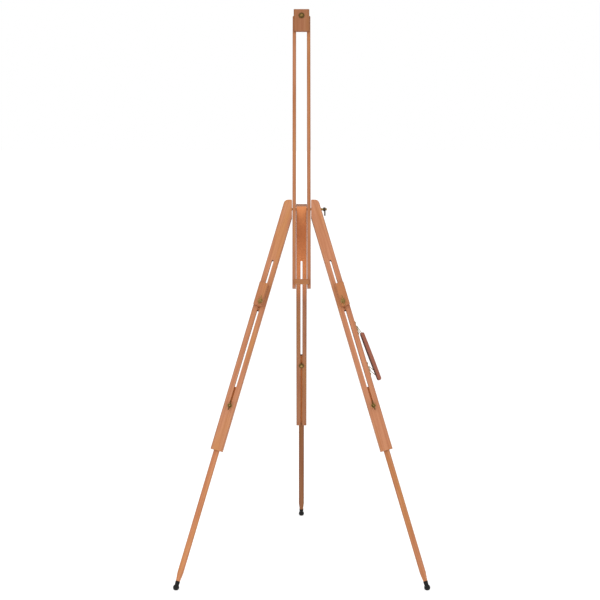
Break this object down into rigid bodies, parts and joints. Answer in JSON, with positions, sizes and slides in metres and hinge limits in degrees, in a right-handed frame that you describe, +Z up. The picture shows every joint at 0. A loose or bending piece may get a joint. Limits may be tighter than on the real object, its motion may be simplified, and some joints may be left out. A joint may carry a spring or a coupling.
{
  "type": "tripod field easel",
  "caption": "Folding wooden tripod easel with a sliding mast, telescoping rod legs, swivelling canvas shelves, a top canvas clamp and a leather carrying handle.",
  "frame": {"origin": "on the floor under the middle of the bounding box of the open easel", "axes": "+Z up, the painter stands on the -Y side, +X to the painter's right"},
  "size_m": [0.7902, 0.706, 1.7863],
  "materials": {
    "leg_wood": "oiled beech, satin",
    "mast_wood": "oiled beech, satin",
    "rod_wood": "oiled beech, satin",
    "block_wood": "oiled beech, satin",
    "brass_hardware": "brass-plated, satin",
    "bail_wire": "drawn brass wire",
    "dark_steel": "blackened",
    "foot_rubber": "matt black",
    "handle_leather": "reddish brown, stitched"
  },
  "bodies": {
    "pivot": {"pivot_bolt": "brass_hardware"},
    "tilt_lever": {"tilt_lever": "dark_steel"},
    "slide_bushes": {"left_slide_bush": "brass_hardware", "right_slide_bush": "brass_hardware"},
    "mast": {"mast_rail_left": "mast_wood", "mast_rail_right": "mast_wood", "mast_cross_bar": "mast_wood"},
    "canvas_clamp": {"clamp_front_jaw": "block_wood", "clamp_back_jaw": "block_wood", "clamp_front_washer": "brass_hardware", "clamp_bolt": "brass_hardware", "clamp_back_washer": "brass_hardware"},
    "clamp_nut": {"clamp_wing_nut": "brass_hardware"},
    "left_leg": {"left_leg_front_board": "leg_wood", "left_leg_back_board": "leg_wood"},
    "right_leg": {"right_leg_front_board": "leg_wood", "right_leg_back_board": "leg_wood", "handle_plate_upper": "brass_hardware", "handle_plate_lower": "brass_hardware", "handle_screw_upper_1": "brass_hardware", "handle_screw_upper_2": "brass_hardware", "handle_screw_lower_1": "brass_hardware", "handle_screw_lower_2": "brass_hardware"},
    "rear_leg": {"rear_leg_outer_board": "leg_wood", "rear_leg_inner_board": "leg_wood"},
    "handle": {"handle_bail_upper": "bail_wire", "handle_bail_lower": "bail_wire", "handle_grip": "handle_leather"},
    "left_rod": {"left_rod": "rod_wood", "left_foot": "foot_rubber", "left_rod_bolt": "brass_hardware", "left_rod_back_washer": "brass_hardware", "left_rod_front_washer": "brass_hardware"},
    "left_rod_nut": {"left_rod_wing_nut": "brass_hardware"},
    "right_rod": {"right_rod": "rod_wood", "right_foot": "foot_rubber", "right_rod_bolt": "brass_hardware", "right_rod_back_washer": "brass_hardware", "right_rod_front_washer": "brass_hardware"},
    "right_rod_nut": {"right_rod_wing_nut": "brass_hardware"},
    "rear_rod": {"rear_rod": "rod_wood", "rear_foot": "foot_rubber", "rear_rod_bolt": "brass_hardware", "rear_rod_back_washer": "brass_hardware", "rear_rod_front_washer": "brass_hardware"},
    "rear_rod_nut": {"rear_rod_wing_nut": "brass_hardware"},
    "left_shelf_slide": {"left_shelf_keeper": "dark_steel", "left_shelf_bolt": "brass_hardware", "left_shelf_washer": "brass_hardware"},
    "left_shelf": {"left_shelf_block": "block_wood"},
    "left_shelf_nut": {"left_shelf_wing_nut": "brass_hardware"},
    "right_shelf_slide": {"right_shelf_keeper": "dark_steel", "right_shelf_bolt": "brass_hardware", "right_shelf_washer": "brass_hardware"},
    "right_shelf": {"right_shelf_block": "block_wood"},
    "right_shelf_nut": {"right_shelf_wing_nut": "brass_hardware"}
  },
  "joints": [
    {"name": "lever_turn", "type": "hinge", "parent": "pivot", "child": "tilt_lever", "pos_m": [0.075, 0.04473, 1.137], "axis": [1, 0, 0], "continuous": true},
    {"name": "mast_tilt", "type": "hinge", "parent": "pivot", "child": "slide_bushes", "pos_m": [0, 0.04473, 1.137], "axis": [-1, 0, 0], "range_deg": [0, 70]},
    {"name": "mast_slide", "type": "slide", "parent": "slide_bushes", "child": "mast", "axis": [0, 0.3256, 0.9455], "range_m": [-0.573, 0.04]},
    {"name": "clamp_slide", "type": "slide", "parent": "mast", "child": "canvas_clamp", "axis": [0, -0.3256, -0.9455], "range_m": [0, 0.56]},
    {"name": "clamp_nut_turn", "type": "hinge", "parent": "canvas_clamp", "child": "clamp_nut", "pos_m": [0, 0.25798, 1.75631], "axis": [0, 0.9455, -0.3256], "continuous": true},
    {"name": "left_leg_splay", "type": "hinge", "parent": "pivot", "child": "left_leg", "pos_m": [-0.031, 0.03561, 1.11053], "axis": [0, 0.9455, -0.3256], "range_deg": [-16, 0]},
    {"name": "right_leg_splay", "type": "hinge", "parent": "pivot", "child": "right_leg", "pos_m": [0.031, 0.03561, 1.11053], "axis": [0, -0.9455, 0.3256], "range_deg": [-16, 0]},
    {"name": "rear_leg_swing", "type": "hinge", "parent": "pivot", "child": "rear_leg", "pos_m": [0, 0.04473, 1.137], "axis": [1, 0, 0], "range_deg": [-33.7, 10]},
    {"name": "handle_swing", "type": "hinge", "parent": "right_leg", "child": "handle", "pos_m": [0.19689, -0.10348, 0.70658], "axis": [-0.2756, 0.313, 0.9089], "range_deg": [-15, 15]},
    {"name": "left_rod_slide", "type": "slide", "parent": "left_leg", "child": "left_rod", "axis": [-0.2756, -0.313, -0.9089], "range_m": [-0.255, 0]},
    {"name": "left_rod_nut_turn", "type": "hinge", "parent": "left_rod", "child": "left_rod_nut", "pos_m": [-0.22575, -0.16276, 0.53441], "axis": [0, 0.9455, -0.3256], "continuous": true},
    {"name": "right_rod_slide", "type": "slide", "parent": "right_leg", "child": "right_rod", "axis": [0.2756, -0.313, -0.9089], "range_m": [-0.255, 0]},
    {"name": "right_rod_nut_turn", "type": "hinge", "parent": "right_rod", "child": "right_rod_nut", "pos_m": [0.22575, -0.16276, 0.53441], "axis": [0, 0.9455, -0.3256], "continuous": true},
    {"name": "rear_rod_slide", "type": "slide", "parent": "rear_leg", "child": "rear_rod", "axis": [0, 0.2538, -0.9673], "range_m": [-0.34, 0.095]},
    {"name": "rear_rod_nut_turn", "type": "hinge", "parent": "rear_rod", "child": "rear_rod_nut", "pos_m": [0, 0.18759, 0.59243], "axis": [0, -0.9673, -0.2538], "continuous": true},
    {"name": "left_shelf_travel", "type": "slide", "parent": "left_leg", "child": "left_shelf_slide", "axis": [-0.2756, -0.313, -0.9089], "range_m": [-0.135, 0.24]},
    {"name": "left_shelf_swivel", "type": "hinge", "parent": "left_shelf_slide", "child": "left_shelf", "pos_m": [-0.1312, -0.05542, 0.84615], "axis": [0, 0.9455, -0.3256], "range_deg": [0, 106]},
    {"name": "left_shelf_nut_turn", "type": "hinge", "parent": "left_shelf_slide", "child": "left_shelf_nut", "pos_m": [-0.1312, -0.05542, 0.84615], "axis": [0, 0.9455, -0.3256], "continuous": true},
    {"name": "right_shelf_travel", "type": "slide", "parent": "right_leg", "child": "right_shelf_slide", "axis": [0.2756, -0.313, -0.9089], "range_m": [-0.135, 0.24]},
    {"name": "right_shelf_swivel", "type": "hinge", "parent": "right_shelf_slide", "child": "right_shelf", "pos_m": [0.1312, -0.05542, 0.84615], "axis": [0, -0.9455, 0.3256], "range_deg": [0, 106]},
    {"name": "right_shelf_nut_turn", "type": "hinge", "parent": "right_shelf_slide", "child": "right_shelf_nut", "pos_m": [0.1312, -0.05542, 0.84615], "axis": [0, 0.9455, -0.3256], "continuous": true}
  ]
}
